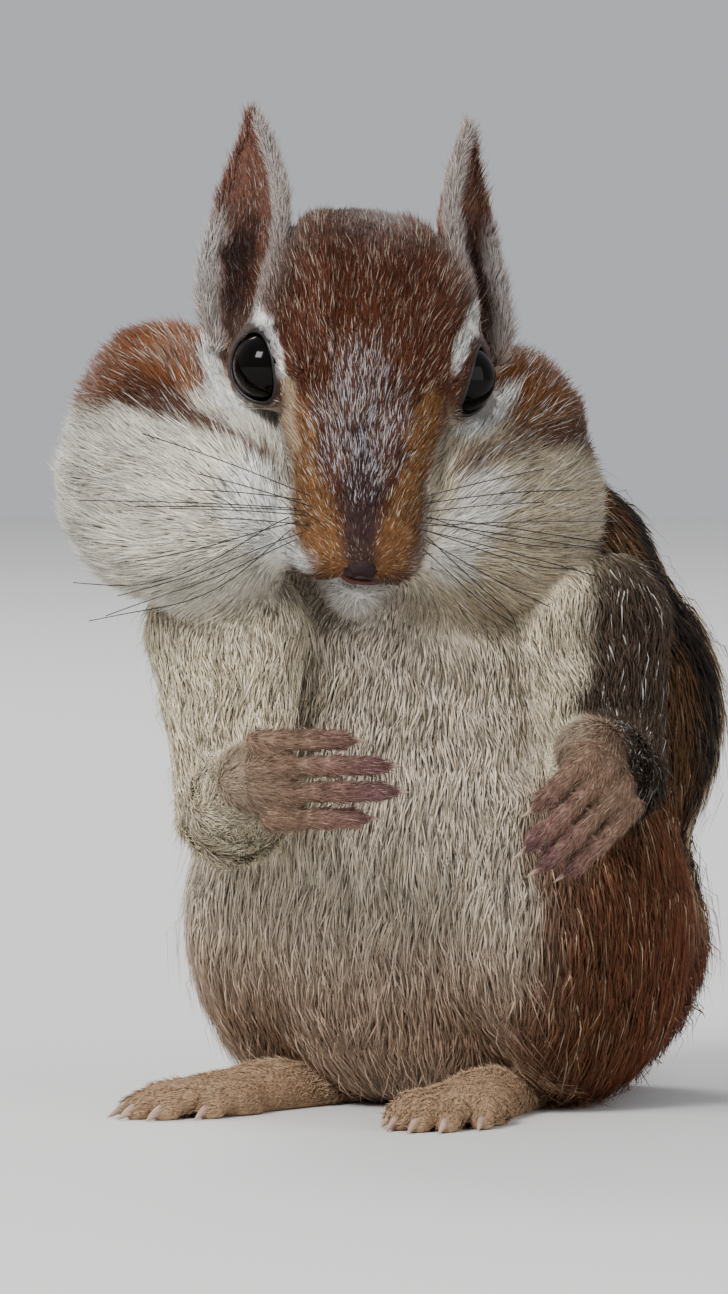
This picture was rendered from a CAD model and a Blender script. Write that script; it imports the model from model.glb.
import math

import bpy
import numpy as np
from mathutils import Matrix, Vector
from mathutils.bvhtree import BVHTree


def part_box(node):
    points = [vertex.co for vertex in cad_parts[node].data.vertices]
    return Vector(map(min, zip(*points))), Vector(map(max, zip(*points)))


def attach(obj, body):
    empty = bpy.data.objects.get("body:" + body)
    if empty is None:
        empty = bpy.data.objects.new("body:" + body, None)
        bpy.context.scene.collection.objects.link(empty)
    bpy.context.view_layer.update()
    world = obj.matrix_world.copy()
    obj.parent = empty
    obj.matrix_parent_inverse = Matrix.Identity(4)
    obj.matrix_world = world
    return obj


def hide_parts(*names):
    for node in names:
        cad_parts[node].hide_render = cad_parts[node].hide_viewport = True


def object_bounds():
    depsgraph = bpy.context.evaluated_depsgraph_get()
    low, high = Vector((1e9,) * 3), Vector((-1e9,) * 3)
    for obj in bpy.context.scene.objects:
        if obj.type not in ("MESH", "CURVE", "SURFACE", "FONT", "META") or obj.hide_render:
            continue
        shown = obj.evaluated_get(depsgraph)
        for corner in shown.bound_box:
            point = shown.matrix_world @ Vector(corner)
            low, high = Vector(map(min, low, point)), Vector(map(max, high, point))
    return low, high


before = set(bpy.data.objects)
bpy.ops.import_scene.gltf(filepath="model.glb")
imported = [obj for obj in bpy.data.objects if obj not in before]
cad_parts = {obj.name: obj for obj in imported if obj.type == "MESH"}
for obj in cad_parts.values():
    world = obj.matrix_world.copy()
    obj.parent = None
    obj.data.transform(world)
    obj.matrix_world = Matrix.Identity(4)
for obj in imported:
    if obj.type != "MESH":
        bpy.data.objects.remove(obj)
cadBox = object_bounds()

# Sitting chipmunk. Shapes are worked out in millimetres and turned to metres in newPiece.
mm = 0.001
scene = bpy.context.scene
chance = np.random.default_rng(11)


# small helpers
def unit(v):
    v = np.asarray(v, float)
    return v / np.maximum(np.linalg.norm(v, axis=-1, keepdims=True), 1e-9)


def ease(low, high, value):
    t = np.clip((value - low) / (high - low), 0, 1)
    return t * t * (3 - 2 * t)


def mixed(a, b, share):
    share = np.asarray(share)[..., None]
    return a * (1 - share) + b * share


def colour(red, green, blue):
    return (np.array([red, green, blue]) / 255.0) ** 2.2


# soft waves that break up edges and tones, each with a size in mm and a seed
patterns = {"flank": (9, 3), "belly": (15, 13), "arm": (6, 17), "ear": (4, 6), "cheek": (7, 8),
            "stroke": (3.0, 5), "comb": (4.5, 21), "lift": (6, 9), "tone": (5, 30)}
ripples = {"waves": 6, "spread": (0.6, 1.5), "start": (0, 6.28), "level": 3.2}


def ripple(points, pattern):
    # runs from about -1 to 1
    size, seed = patterns[pattern]
    draw = np.random.default_rng(seed)
    total = np.zeros(len(points))
    for _ in range(ripples["waves"]):
        way = unit(draw.normal(size=3)) * (2 * math.pi / size) * draw.uniform(*ripples["spread"])
        total += np.sin(points @ way + draw.uniform(*ripples["start"]))
    return total / ripples["level"]


def newPiece(name, vertices, faces, smooth=True):
    mesh = bpy.data.meshes.new(name)
    vertices = np.asarray(vertices, np.float32) * mm
    faces = np.asarray(faces, np.int32)
    corners = faces.shape[1]
    mesh.vertices.add(len(vertices))
    mesh.vertices.foreach_set("co", vertices.ravel())
    mesh.loops.add(faces.size)
    mesh.loops.foreach_set("vertex_index", faces.ravel())
    mesh.polygons.add(len(faces))
    mesh.polygons.foreach_set("loop_start", np.arange(0, faces.size, corners, dtype=np.int32))
    mesh.polygons.foreach_set("use_smooth", np.full(len(faces), smooth))
    mesh.update(calc_edges=True)
    piece = bpy.data.objects.new(name, mesh)
    scene.collection.objects.link(piece)
    return piece


def paint(piece, name, values):
    values = np.asarray(values, np.float32)
    colours = np.ones((len(values), 4), np.float32)
    colours[:, :3] = values
    layer = piece.data.attributes.new(name, "FLOAT_COLOR", "POINT")
    layer.data.foreach_set("color", colours.ravel())


def settle(piece, nodes=()):
    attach(piece, "root")
    if nodes:
        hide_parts(*nodes)


# the pose, in degrees and mm: the head turns about the eye line and the trunk about its foot
pose = {"pitch": 50, "yaw": 11, "roll": 4, "trunkYaw": 28, "eyeSpot": [-0.7, 0.6, 10.8], "eyeRadius": 3.9,
        "eyeLine": [-1.2, -8.0, 82.8], "trunkFoot": [8.5, 14.0, 0.0], "eyeAxis": [0.38, 0.36, 0.85]}


def nodeMiddle(node):
    low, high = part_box(node)
    return (np.array(low) + np.array(high)) / 2 / mm


def headAxes():
    pitch, yaw, roll = (math.radians(pose[k]) for k in ("pitch", "yaw", "roll"))
    cosRoll, sinRoll = math.cos(roll), math.sin(roll)
    cosYaw, sinYaw = math.cos(yaw), math.sin(yaw)
    rollTurn = np.array([[cosRoll, 0, sinRoll], [0, 1, 0], [-sinRoll, 0, cosRoll]])
    yawTurn = np.array([[cosYaw, -sinYaw, 0], [sinYaw, cosYaw, 0], [0, 0, 1]])
    turn = rollTurn @ yawTurn
    forward = turn @ [0, -math.cos(pitch), -math.sin(pitch)]
    up = turn @ [0, -math.sin(pitch), math.cos(pitch)]
    return forward, up, turn @ [1, 0, 0]


def solidsShift():
    # from the numbers below to the solids' frame, read off the two eyes
    forward, up = headAxes()[:2]
    eyes = np.array(pose["eyeLine"]) + forward * pose["eyeSpot"][0] + up * pose["eyeSpot"][1]
    return (nodeMiddle("eye_right") + nodeMiddle("eye_left")) / 2 - eyes


shift = solidsShift()


def frameOf(origin, forward, up, left):
    made = np.eye(4)
    made[:3, 0], made[:3, 1], made[:3, 2] = forward, up, left
    made[:3, 3] = np.array(origin) + shift
    return made


def trunkFrame():
    yaw = math.radians(pose["trunkYaw"])
    forward = [-math.sin(yaw), -math.cos(yaw), 0]
    return frameOf(pose["trunkFoot"], forward, [0, 0, 1], [math.cos(yaw), -math.sin(yaw), 0])


head = frameOf(pose["eyeLine"], *headAxes())
trunk = trunkFrame()
world = frameOf([0, 0, 0], [1, 0, 0], [0, 1, 0], [0, 0, 1])


def place(frameAt, point):
    return frameAt[:3, :3] @ np.array(point, float) + frameAt[:3, 3]


def within(frameAt, points):
    return (points - frameAt[:3, 3]) @ frameAt[:3, :3]


def eyeSpot(side):
    return np.array(pose["eyeSpot"]) * [1, 1, side["s"]]


def eyeCentre(side):
    return place(head, eyeSpot(side))


# camera, floor and light
view = {"pixelsPerMm": 9.0, "distance": 1600.0, "elevation": 3.0, "target": [-3.66, -38.0, 52.1],
        "width": 728, "height": 1294, "sensor": 36.0, "clip": (0.1, 20)}
viewTilt = math.radians(view["elevation"])


def addCamera():
    back = np.array([0, -math.cos(viewTilt), math.sin(viewTilt)])
    data = bpy.data.cameras.new("camera")
    camera = bpy.data.objects.new("camera", data)
    scene.collection.objects.link(camera)
    frameHeight = view["height"] / view["pixelsPerMm"]
    data.sensor_width = view["sensor"]
    data.lens = view["sensor"] * view["distance"] / frameHeight
    data.clip_start, data.clip_end = view["clip"]
    at = np.array(view["target"]) + back * view["distance"]
    camera.location = Vector(at * mm)
    camera.rotation_euler = Vector(back).to_track_quat("Z", "Y").to_euler()
    scene.camera = camera
    return at, back


cameraAt, cameraBack = addCamera()


def rayThrough(u, v):
    up = np.array([0, math.sin(viewTilt), math.cos(viewTilt)])
    across = (u - view["width"] / 2) / view["pixelsPerMm"]
    rise = (view["height"] / 2 - v) / view["pixelsPerMm"]
    return unit(np.array([across, 0, 0]) + up * rise - cameraBack * view["distance"])


# places and sizes in metres, power in watts
studio = {"lamps": {"key": {"at": [-0.55, -0.95, 0.95], "size": 0.45, "power": 22.0},
                    "fill": {"at": [0.9, -0.7, 0.35], "size": 0.9, "power": 5.0},
                    "rim": {"at": [-0.3, 0.9, 0.8], "size": 0.5, "power": 8.0}},
          "aim": (0, 0, 0.05), "sky": 0.55, "skyColour": (0.92, 0.95, 1.0, 1),
          "floor": 3.0, "paper": (0.72, 0.71, 0.69, 1), "paperRoughness": 0.8}


def addStudio():
    for name, lamp in studio["lamps"].items():
        data = bpy.data.lights.new(name, "AREA")
        data.energy, data.size = lamp["power"], lamp["size"]
        light = bpy.data.objects.new(name, data)
        light.location = lamp["at"]
        aim = Vector(lamp["at"]) - Vector(studio["aim"])
        light.rotation_euler = aim.to_track_quat("Z", "Y").to_euler()
        scene.collection.objects.link(light)
    sky = bpy.data.worlds.new("studio")
    sky.use_nodes = True
    background = sky.node_tree.nodes["Background"]
    background.inputs["Color"].default_value = studio["skyColour"]
    background.inputs["Strength"].default_value = studio["sky"]
    scene.world = sky
    half = studio["floor"] / mm / 2
    corners = [(-half, -half, 0), (half, -half, 0), (half, half, 0), (-half, half, 0)]
    floor = newPiece("floor", corners, [(0, 1, 2, 3)], smooth=False)
    paper = bpy.data.materials.new("floorPaper")
    paper.use_nodes = True
    shader = paper.node_tree.nodes["Principled BSDF"]
    shader.inputs["Base Color"].default_value = studio["paper"]
    shader.inputs["Roughness"].default_value = studio["paperRoughness"]
    floor.data.materials.append(paper)

addStudio()
print("camera and studio ready")


# fields: distance to a form, below zero inside
def ball(frameAt, centre, radii, tilt=0):
    turn = np.eye(4)
    angle = math.radians(tilt)
    turn[:2, :2] = [[math.cos(angle), -math.sin(angle)], [math.sin(angle), math.cos(angle)]]
    turn[:3, 3] = centre
    inverse = np.linalg.inv(frameAt @ turn)
    radii = np.array(radii, float)

    def field(points):
        q = (points @ inverse[:3, :3].T + inverse[:3, 3]) / radii
        reach = np.linalg.norm(q, axis=1)
        slope = np.linalg.norm(q / radii, axis=1)
        return reach * (reach - 1) / np.maximum(slope, 1e-6)

    return field


def taper(frameAt, start, startRadius, end, endRadius):
    a = place(frameAt, start)
    along = place(frameAt, end) - a
    length = along @ along

    def field(points):
        q = points - a
        t = np.clip(q @ along / length, 0, 1)
        return np.linalg.norm(q - t[:, None] * along, axis=1) - (startRadius + (endRadius - startRadius) * t)

    return field


def nearby(form, middle, reach, margin=9.0):
    # far from the form, the distance to a ball round it is near enough
    def field(points):
        d = np.linalg.norm(points - middle, axis=1) - reach
        close = d < margin
        if close.any():
            d[close] = form(points[close])
        return d

    return field


def chain(frameAt, points, radii, softness=1.0):
    links = zip(points[:-1], radii[:-1], points[1:], radii[1:])
    form = blend(softness, *[taper(frameAt, a, ra, b, rb) for a, ra, b, rb in links])
    placed = np.array([place(frameAt, p) for p in points])
    middle = (placed.min(axis=0) + placed.max(axis=0)) / 2
    return nearby(form, middle, np.linalg.norm(placed - middle, axis=1).max() + max(radii))


def blend(softness, *fields):
    def field(points):
        near = fields[0](points)
        for other in fields[1:]:
            d = other(points)
            h = np.maximum(softness - np.abs(near - d), 0) / softness
            near = np.minimum(near, d) - h * h * softness / 4
        return near

    return field


def hollowed(softness, whole, *hollows):
    def field(points):
        far = whole(points)
        for hollow in hollows:
            d = -hollow(points)
            h = np.maximum(softness - np.abs(far - d), 0) / softness
            far = np.maximum(far, d) + h * h * softness / 4
        return far

    return field


def sunk(whole, depth):
    return lambda points: whole(points) + depth


def formOf(frameAt, row, s=1):
    # a taper has start, radius, end and radius; a ball has centre, radii and perhaps a tilt in degrees
    flip = np.array([1, 1, s])
    if len(row) == 4:
        start, startRadius, end, endRadius = row
        return taper(frameAt, start * flip, startRadius, end * flip, endRadius)
    centre, radii, *tilt = row
    return ball(frameAt, centre * flip, radii, *tilt)


def lump(frameAt, shape):
    # one form blended of rows, with those of a side on both sides
    middle = [formOf(frameAt, row) for row in shape["middle"]]
    both = [formOf(frameAt, row, side["s"]) for side in sides for row in shape.get("side", [])]
    return blend(shape["blend"], *middle, *both)


# forms of the head, in mm ahead of, above and to the left of the middle of the eye line
sides = [{"name": "right", "s": -1, "pouchOffset": 18.6, "pouchRadius": 14.4},
         {"name": "left", "s": 1, "pouchOffset": 15.9, "pouchRadius": 13.8}]
skull = {"middle": [([-8, 0.5, 0], [13.2, 11.2, 13]), ([0, -1.5, 0], 9, [16.4, -7.4, 0], 4),
                    ([-2, -9, 0], [12, 7, 10.5])],
         "side": [([2, -0.5, 4.6], 5.4, [14, -6.2, 2.6], 3.2), ([14, -9.6, 3.8], [6, 5, 4.6], -20),
                  ([10.4, -12.6, 6.2], [6, 4.8, 4.4], -25), ([-1.5, 4.2, 8.6], [6, 2.6, 3], 10)],
         "blend": 3}
jaw = {"middle": [([6, -15.5, 1], 5.6, [16.4, -17, 1.2], 3.5), ([7.5, -15.5, 1.5], [8.5, 6, 11.5])],
       "blend": 3}
pouch = {"front": [5.8, -13.2, 0], "frontRadii": [14.6, 12.2], "lean": 24, "back": [-2.9, -10.9, 1.2],
         "backRadii": [10, 9.4, 10.4], "chin": [9.3, -15.9, -6], "chinRadii": [9, 8, 8], "blend": 4}
upright = 90 + pose["pitch"]  # tilt that stands a ball's first axis upright


def pouchField(side):
    out = [0, 0, side["pouchOffset"]]
    front, back, chin = (np.array(pouch[k]) + out for k in ("front", "back", "chin"))
    rows = [(front, [*pouch["frontRadii"], side["pouchRadius"]], upright + pouch["lean"]),
            (back, pouch["backRadii"], upright), (chin, pouch["chinRadii"])]
    return blend(pouch["blend"], *[formOf(head, row, side["s"]) for row in rows])


dish = {"out": 2.2, "radii": (4.2, 8), "run": [5, 6, 3]}


def dishField(side):
    # the shallow hollow that each eye looks out of
    start = np.array(pose["eyeSpot"]) + np.array(pose["eyeAxis"]) * (pose["eyeRadius"] + dish["out"])
    small, large = dish["radii"]
    return formOf(head, (start, small, start + dish["run"], large), side["s"])


# eyeball and lids, in mm, and the opening's half angles in degrees
eye = {"rows": 28, "columns": 48, "cornea": 0.22, "corneaSpan": 0.8, "flesh": 0.95, "open": 61.0,
       "almond": 6.0, "corner": 8.0, "cornerEdge": 6, "ahead": [1, -0.28, 0], "lidRadius": 0.28,
       "lidRise": 0.36, "lidSteps": 72, "lidSides": 12, "lidFlat": 0.25, "lidCorners": 0.12,
       "lidUneven": 0.05}


def eyeFrame(side):
    axis = unit(head[:3, :3] @ (np.array(pose["eyeAxis"]) * [1, 1, side["s"]]))
    ahead = head[:3, :3] @ np.array(eye["ahead"])
    ahead = unit(ahead - (ahead @ axis) * axis)
    return eyeCentre(side), axis, ahead, np.cross(axis, ahead)


def eyeOpening(turns):
    # half angle of the opening between the lids, by the turn round the gaze
    return np.radians(eye["open"] + eye["almond"] * np.cos(2 * turns)
                      + eye["corner"] * np.maximum(np.cos(turns), 0) ** eye["cornerEdge"])


def lidAngle(side, points):
    # how far round the ball a point lies beyond the opening's edge
    centre, axis, ahead, over = eyeFrame(side)
    q = points - centre
    turns = np.arctan2(q @ over, q @ ahead)
    angle = np.arctan2(np.hypot(q @ over, q @ ahead), q @ axis)
    return angle - eyeOpening(turns), np.linalg.norm(q, axis=1)


def lidFlesh(side):
    def field(points):
        beyond, reach = lidAngle(side, points)
        return np.maximum(reach - pose["eyeRadius"] - eye["flesh"], -beyond * np.maximum(reach, 1))

    return field


# a cup that stands on the skull: mm, turns in radians, foot and below in shares of its length
earShape = {"length": 19.5, "halfWidth": 5.4, "thickness": 1.75, "base": [-10.8, 1.5, 13.0],
            "axis": [-0.9, 0.43, 0.02], "open": [0.42, 0.5, 0.82], "foot": 0.3, "below": 0.35,
            "rootTurn": 1.9, "tipTurn": 0.7, "seat": 0.5, "lean": 1.4, "rimThinner": 0.12, "tipThinner": 0.1,
            "outline": [0.5, 0.88, 1, 0.94, 0.76, 0.44, 0.05],
            "hollow": ([-9.4, 1.8, 14], [3.8, 2.6, 4], -25)}


def earAxes(side):
    flip = np.array([1, 1, side["s"]])
    axis = unit(np.array(earShape["axis"]) * flip)
    opening = np.array(earShape["open"]) * flip
    opening = unit(opening - (opening @ axis) * axis)
    return np.array(earShape["base"]) * flip, axis, opening, np.cross(axis, opening)


def earPlace(side, points):
    # t runs from 0 at the root to 1 at the tip; turn goes round the cup, to wrap at its rims; rho is the
    # distance from the cup's own axis and is radius on its middle sheet
    base, axis, opening, across = earAxes(side)
    q = within(head, points) - base
    along, out, wide = q @ axis, q @ opening, q @ across
    t = np.clip((along / earShape["length"] + earShape["foot"]) / (1 + earShape["foot"]), 0, 1)
    steps = np.linspace(0, 1, len(earShape["outline"]))
    half = earShape["halfWidth"] * np.interp(t, steps, earShape["outline"])
    wrap = earShape["rootTurn"] + (earShape["tipTurn"] - earShape["rootTurn"]) * np.sqrt(t)
    radius = np.maximum(half / np.sin(np.minimum(wrap, math.pi / 2)), 0.2)
    out = out - (radius * earShape["seat"] - earShape["lean"] * t * t)
    rho = np.hypot(out, wide)
    turn = np.arctan2(wide, -out)
    return t, along, turn, wrap, radius, rho


def earField(side):
    def field(points):
        t, along, turn, wrap, radius, rho = earPlace(side, points)
        rim = np.minimum(turn / wrap, 1) ** 2
        thick = earShape["thickness"] * (1 - earShape["rimThinner"] * rim - earShape["tipThinner"] * t)
        beyond = np.maximum(np.abs(turn) - wrap, 0) * np.minimum(rho, radius)
        length = earShape["length"]
        past = np.maximum(along - length, 0) + np.maximum(-along - earShape["below"] * length, 0)
        return np.sqrt(beyond ** 2 + past ** 2 + (rho - radius) ** 2) - thick / 2

    return field


# forms of the trunk, limbs and tail, in mm: trunk forms ahead of, above and to the left of the trunk's foot
torso = {"middle": [([2, 26, -2], [24, 26.5, 25]), ([3, 50, -3], [17, 18, 19]),
                    ([-13, 44, 5.5], [19, 22, 20.5]), ([-17, 19, 3.5], [19, 19.5, 18.5])], "blend": 7}
neck = {"throat": ([7, 12, 58], 17, [0.5, 3, 84], 13), "shoulders": ([-9, 60, 2], [16, 14, 18]), "blend": 8}
thigh = {"haunch": ([2, 21.5, 17.5], [20, 20, 10.5]), "knee": ([15, 22, 15], [8, 10, 8]), "blend": 5}
arms = {"right": {"shoulder": [-16.5, 0, 54.5], "elbow": [-15.6, -8, 35.5], "wrist": [-13.6, -22, 39.6]},
        "left": {"shoulder": [24, 0, 55], "elbow": [26, -5, 39.5], "wrist": [23.8, -21, 42.2]},
        "upperRadii": (9.2, 6.4), "foreRadii": [6.2, 5.4, 4.2, 3.4], "steps": (0.05, 0.35, 0.7, 1),
        "blend": 2}
hands = {"right": {"knuckles": [[-11.2, -27, 43.8], [-9.6, -26.6, 35.2]], "reach": [1, -0.06, 0.02],
                   "back": [-0.1, -1, 0.1], "lengths": [8, 11.4, 11.6, 8]},
         "left": {"knuckles": [[22.6, -27, 41.6], [27.2, -24.5, 35.4]], "reach": [-0.68, -0.2, -0.7],
                  "back": [0.45, -0.85, 0.3], "lengths": [6.5, 10, 10, 8]},
         "palm": (0.1, 0.4, 0.65, 0.9), "palmRadii": [2.8, 2.2, 1.7], "palmBend": 0.4,
         "arch": 0.12, "curl": 0.45, "archAt": 0.35, "blend": {"whole": 1.1, "palm": 2, "fingers": 0.4}}
feet = {"right": {"heel": [-2.5, 13], "ball": [-18.5, -3.5]}, "left": {"heel": [17, 3], "ball": [8.8, -18]},
        "heelHigh": 2.9, "ballHigh": 2.4, "steps": (0, 0.3, 0.65, 1), "radii": [2.9, 2.8, 2.7, 2.4],
        "toes": [6, 9, 10, 9.4, 6.4], "toeRoot": 1.7, "toeLow": 1.55, "toeArch": 1.28, "spread": 4,
        "fan": 0.2, "bowAhead": 1.5, "bowBack": 2.5, "instep": (2.2, 1.9), "instepHigh": 0.4,
        "blend": {"whole": 1.4, "sole": 2.5, "instep": 2, "toes": 0.4}}
# radii along a digit are shares of the digit's own
digits = {"finger": 1.25, "toe": 1.7, "blend": 0.5,
          "fingerSteps": (-0.2, 0.12, 0.35, 0.55, 0.75, 0.9, 1),
          "fingerRadii": (1.15, 1.05, 0.95, 1.02, 0.9, 0.92, 0.72),
          "toeSteps": (-0.2, 0.15, 0.35, 0.55, 0.75, 0.9, 1),
          "toeRadii": (1.1, 0.95, 0.86, 0.96, 0.84, 0.88, 0.7)}


def neckField():
    return blend(neck["blend"], formOf(world, neck["throat"]), formOf(trunk, neck["shoulders"]))


def thighField(side):
    return blend(thigh["blend"], *[formOf(trunk, thigh[k], side["s"]) for k in ("haunch", "knee")])


def upperArmField(side):
    arm = arms[side["name"]]
    atShoulder, atElbow = arms["upperRadii"]
    return taper(world, arm["shoulder"], atShoulder, arm["elbow"], atElbow)


def forearmField(side):
    arm = arms[side["name"]]
    elbow, wrist = np.array(arm["elbow"]), np.array(arm["wrist"])
    points = [elbow + (wrist - elbow) * t for t in arms["steps"]]
    return chain(world, points, arms["foreRadii"], arms["blend"])


def knuckleEnds(side):
    return (np.array(k, float) for k in hands[side["name"]]["knuckles"])


def fingerBones(side):
    hand = hands[side["name"]]
    first, last = knuckleEnds(side)
    ahead = unit(hand["reach"])
    over = np.array(hand["back"], float)
    over = unit(over - (over @ ahead) * ahead)
    found = []
    for i, length in enumerate(hand["lengths"]):
        root = first + (last - first) * i / (len(hand["lengths"]) - 1)
        line = []
        for t in digits["fingerSteps"]:
            rise = hands["arch"] - hands["curl"] * (t - hands["archAt"]) ** 2
            line.append(root + ahead * t * length + over * rise * length)
        found.append(line)
    return found, over


def digitForms(lines, size, radii):
    return [chain(world, line, [size * r for r in radii], digits["blend"]) for line in lines]


def handField(side):
    wrist = np.array(arms[side["name"]]["wrist"])
    first, last = knuckleEnds(side)
    fingers = digitForms(fingerBones(side)[0], digits["finger"], digits["fingerRadii"])
    palms = []
    for t in hands["palm"]:
        root = first + (last - first) * t
        bend = root + (wrist - root) * hands["palmBend"]
        palms.append(chain(world, [wrist, bend, root], hands["palmRadii"], 1))
    soft = hands["blend"]
    return blend(soft["whole"], blend(soft["palm"], *palms), blend(soft["fingers"], *fingers))


def toeBones(side):
    foot = feet[side["name"]]
    root = np.array([*foot["ball"], feet["toeRoot"]])
    ahead = unit(root - np.array([*foot["heel"], feet["toeRoot"]]))
    across = np.cross([0, 0, 1], ahead)
    found = []
    for i, length in enumerate(feet["toes"]):
        spread = (i - 2) / 2
        bow = feet["bowAhead"] - feet["bowBack"] * spread ** 2
        start = root + across * spread * feet["spread"] + ahead * bow
        turn = spread * feet["fan"]
        way = ahead * math.cos(turn) + across * math.sin(turn)
        line = []
        for t in digits["toeSteps"]:
            rise = feet["toeLow"] + feet["toeArch"] * math.sin(math.pi * min(max(t, 0), 1))
            line.append(np.array([*(start + way * t * length)[:2], rise]))
        found.append(line)
    return found


def footField(side):
    foot = feet[side["name"]]
    start, end = np.array([*foot["heel"], feet["heelHigh"]]), np.array([*foot["ball"], feet["ballHigh"]])
    sole = chain(world, [start + (end - start) * t for t in feet["steps"]], feet["radii"], 2)
    lines = toeBones(side)
    instep = start + (end - start) * 0.5
    high, low = feet["instep"]
    rise = [0, 0, feet["instepHigh"]]
    soft = feet["blend"]
    wide = blend(soft["instep"], *[taper(world, instep, high, line[1] + rise, low) for line in lines])
    toes = digitForms(lines, digits["toe"], digits["toeRadii"])
    return blend(soft["whole"], blend(soft["sole"], sole, wide), blend(soft["toes"], *toes))


tailShape = {"core": 2.8, "radii": [1.7, 1.25, 1, 0.9, 0.75, 0.5], "steps": 25,
             "darkOver": 3.0, "darkEdge": (-0.3, 0.4),
             "path": [[17, 33, 8], [20.5, 46, 5.6], [21, 60, 4.6], [15, 76, 4.4], [5, 89, 4.2]]}


def smoothPath(points, count, perSpan=40):
    # a smooth curve through the points, sampled at even steps
    p = np.array(points, float)
    p = np.vstack([2 * p[0] - p[1], p, 2 * p[-1] - p[-2]])
    dense = []
    for i in range(1, len(p) - 2):
        a, b, c, d = p[i - 1:i + 3]
        for t in np.linspace(0, 1, perSpan, endpoint=False):
            dense.append(0.5 * (2 * b + (c - a) * t + (2 * a - 5 * b + 4 * c - d) * t ** 2
                                + (3 * b - a - 3 * c + d) * t ** 3))
    dense.append(p[-2])
    dense = np.array(dense)
    walked = np.concatenate([[0], np.cumsum(np.linalg.norm(np.diff(dense, axis=0), axis=1))])
    marks = np.linspace(0, walked[-1], count)
    return np.stack([np.interp(marks, walked, dense[:, k]) for k in range(3)], axis=1)


tailLine = smoothPath(tailShape["path"], tailShape["steps"])


def tailField():
    radii = tailShape["core"] * np.array(tailShape["radii"])
    steps = np.linspace(0, len(radii) - 1, len(tailLine))
    return chain(world, list(tailLine), list(np.interp(steps, np.arange(len(radii)), radii)), 1)


def nearestOnTail(points):
    return np.argmin(np.linalg.norm(points[:, None, :] - (tailLine + shift)[None], axis=2), axis=1)


# what each kind of coat is like, and the material slot that it goes in
coatKeys = ("depth", "length", "lift", "width", "density", "points", "slot")  # mm, mm, degrees, mm, per mm2
coat = {
    "head": (0.55, 1.7, 15, 0.17, 36, 4, "russet_fur"),
    "cheek": (1.25, 3.0, 13, 0.19, 20, 4, "cream_fur"),
    "jaw": (0.7, 2.2, 15, 0.19, 28, 4, "white_fur"),
    "neck": (1.2, 4.4, 16, 0.2, 7.5, 5, "russet_fur"),
    "trunk": (1.3, 5.4, 15, 0.2, 6.6, 5, "striped_fur"),
    "arm": (1.0, 3.7, 16, 0.18, 12, 5, "cream_fur"),
    "forearm": (0.7, 2.7, 14, 0.19, 18, 4, "cream_fur"),
    "hand": (0.22, 1.25, 15, 0.13, 24, 4, "tan_fur"),
    "thigh": (1.3, 4.8, 14, 0.2, 7, 5, "striped_fur"),
    "foot": (0.2, 1.3, 16, 0.15, 16, 4, "tan_fur"),
    "tail": (0.4, 12.5, 24, 0.34, 8, 5, "tail_fur"),
    "ear": (0.12, 1.2, 12, 0.13, 30, 4, "russet_fur"),
}


def away(point):
    return lambda points: points - point


def steady(way):
    return lambda points: np.broadcast_to(np.array(way, float), points.shape)


def alongTail(points):
    return unit(np.gradient(tailLine, axis=0)[nearestOnTail(points)])


lie = {"out": 0.12, "behind": (0, -14), "low": (30, 8), "back": [0.15, 1.1, 0.3]}


def trunkWay(points):
    # down, outwards a little, and backwards where the rump meets the floor
    q = within(trunk, points)
    out = unit(np.stack([q[:, 0], np.zeros(len(q)), q[:, 2]], axis=1)) @ trunk[:3, :3].T
    behind = ease(*lie["behind"], q[:, 0])[:, None]
    low = ease(*lie["low"], q[:, 1])[:, None]
    down = np.array([0, 0, -1.0])
    return down + lie["out"] * out + behind * low * np.array(lie["back"])


def makeZones():
    # each zone's form, the way its hair lies, and a ball that holds it
    zones = []

    def zone(name, form, way, middle, reach):
        kind = name.split("_")[0]
        kept = nearby(form, np.array(middle), reach)
        hair = dict(zip(coatKeys, coat[kind]))
        zones.append({"name": name, "kind": kind, "form": kept, "way": way, **hair})

    zone("head", lump(head, skull), away(place(head, [24, -9, 0])), place(head, [0, -4, 0]), 30)
    zone("jaw", lump(head, jaw), away(place(head, [22, -6, 0])), place(head, [10, -15, 1]), 19)
    zone("neck", neckField(), steady([0, 0.45, -0.85]), place(world, [5, 10, 68]), 36)
    zone("trunk", lump(trunk, torso), trunkWay, place(trunk, [-6, 34, 0]), 46)
    zone("tail", tailField(), alongTail, place(world, [16, 62, 5]), 40)
    for side in sides:
        name = side["name"]
        arm, foot = arms[name], feet[name]
        shoulder, elbow, wrist = (np.array(arm[k], float) for k in ("shoulder", "elbow", "wrist"))
        heel, toeRoot = (np.array([*foot[k], 0.0]) for k in ("heel", "ball"))
        s, offset = side["s"], side["pouchOffset"]
        base, earAxis = earAxes(side)[:2]
        knuckles = np.mean(hands[name]["knuckles"], axis=0)
        zone("cheek_" + name, pouchField(side), away(place(head, [20, -7, 2.0 * s])),
             place(head, [2, -12, offset * s]), 24)
        zone("arm_" + name, upperArmField(side), steady(unit(elbow - shoulder) + [0, -0.15, 0]),
             place(world, (shoulder + elbow) / 2), 20)
        zone("forearm_" + name, forearmField(side), steady(wrist - elbow),
             place(world, (elbow + wrist) / 2), 16)
        zone("hand_" + name, handField(side), steady(hands[name]["reach"]), place(world, knuckles), 18)
        zone("thigh_" + name, thighField(side), steady([0, -0.1, -1]),
             place(trunk, [4, 21.5, 17 * s]), 24)
        zone("foot_" + name, footField(side), steady(toeRoot - heel),
             place(world, (heel + toeRoot) / 2), 24)
        zone("ear_" + name, earField(side), steady(head[:3, :3] @ earAxis),
             place(head, base + earAxis * 8), 17)
    return zones


zones = makeZones()
zoneOf = {zone["name"]: number for number, zone in enumerate(zones)}


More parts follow.
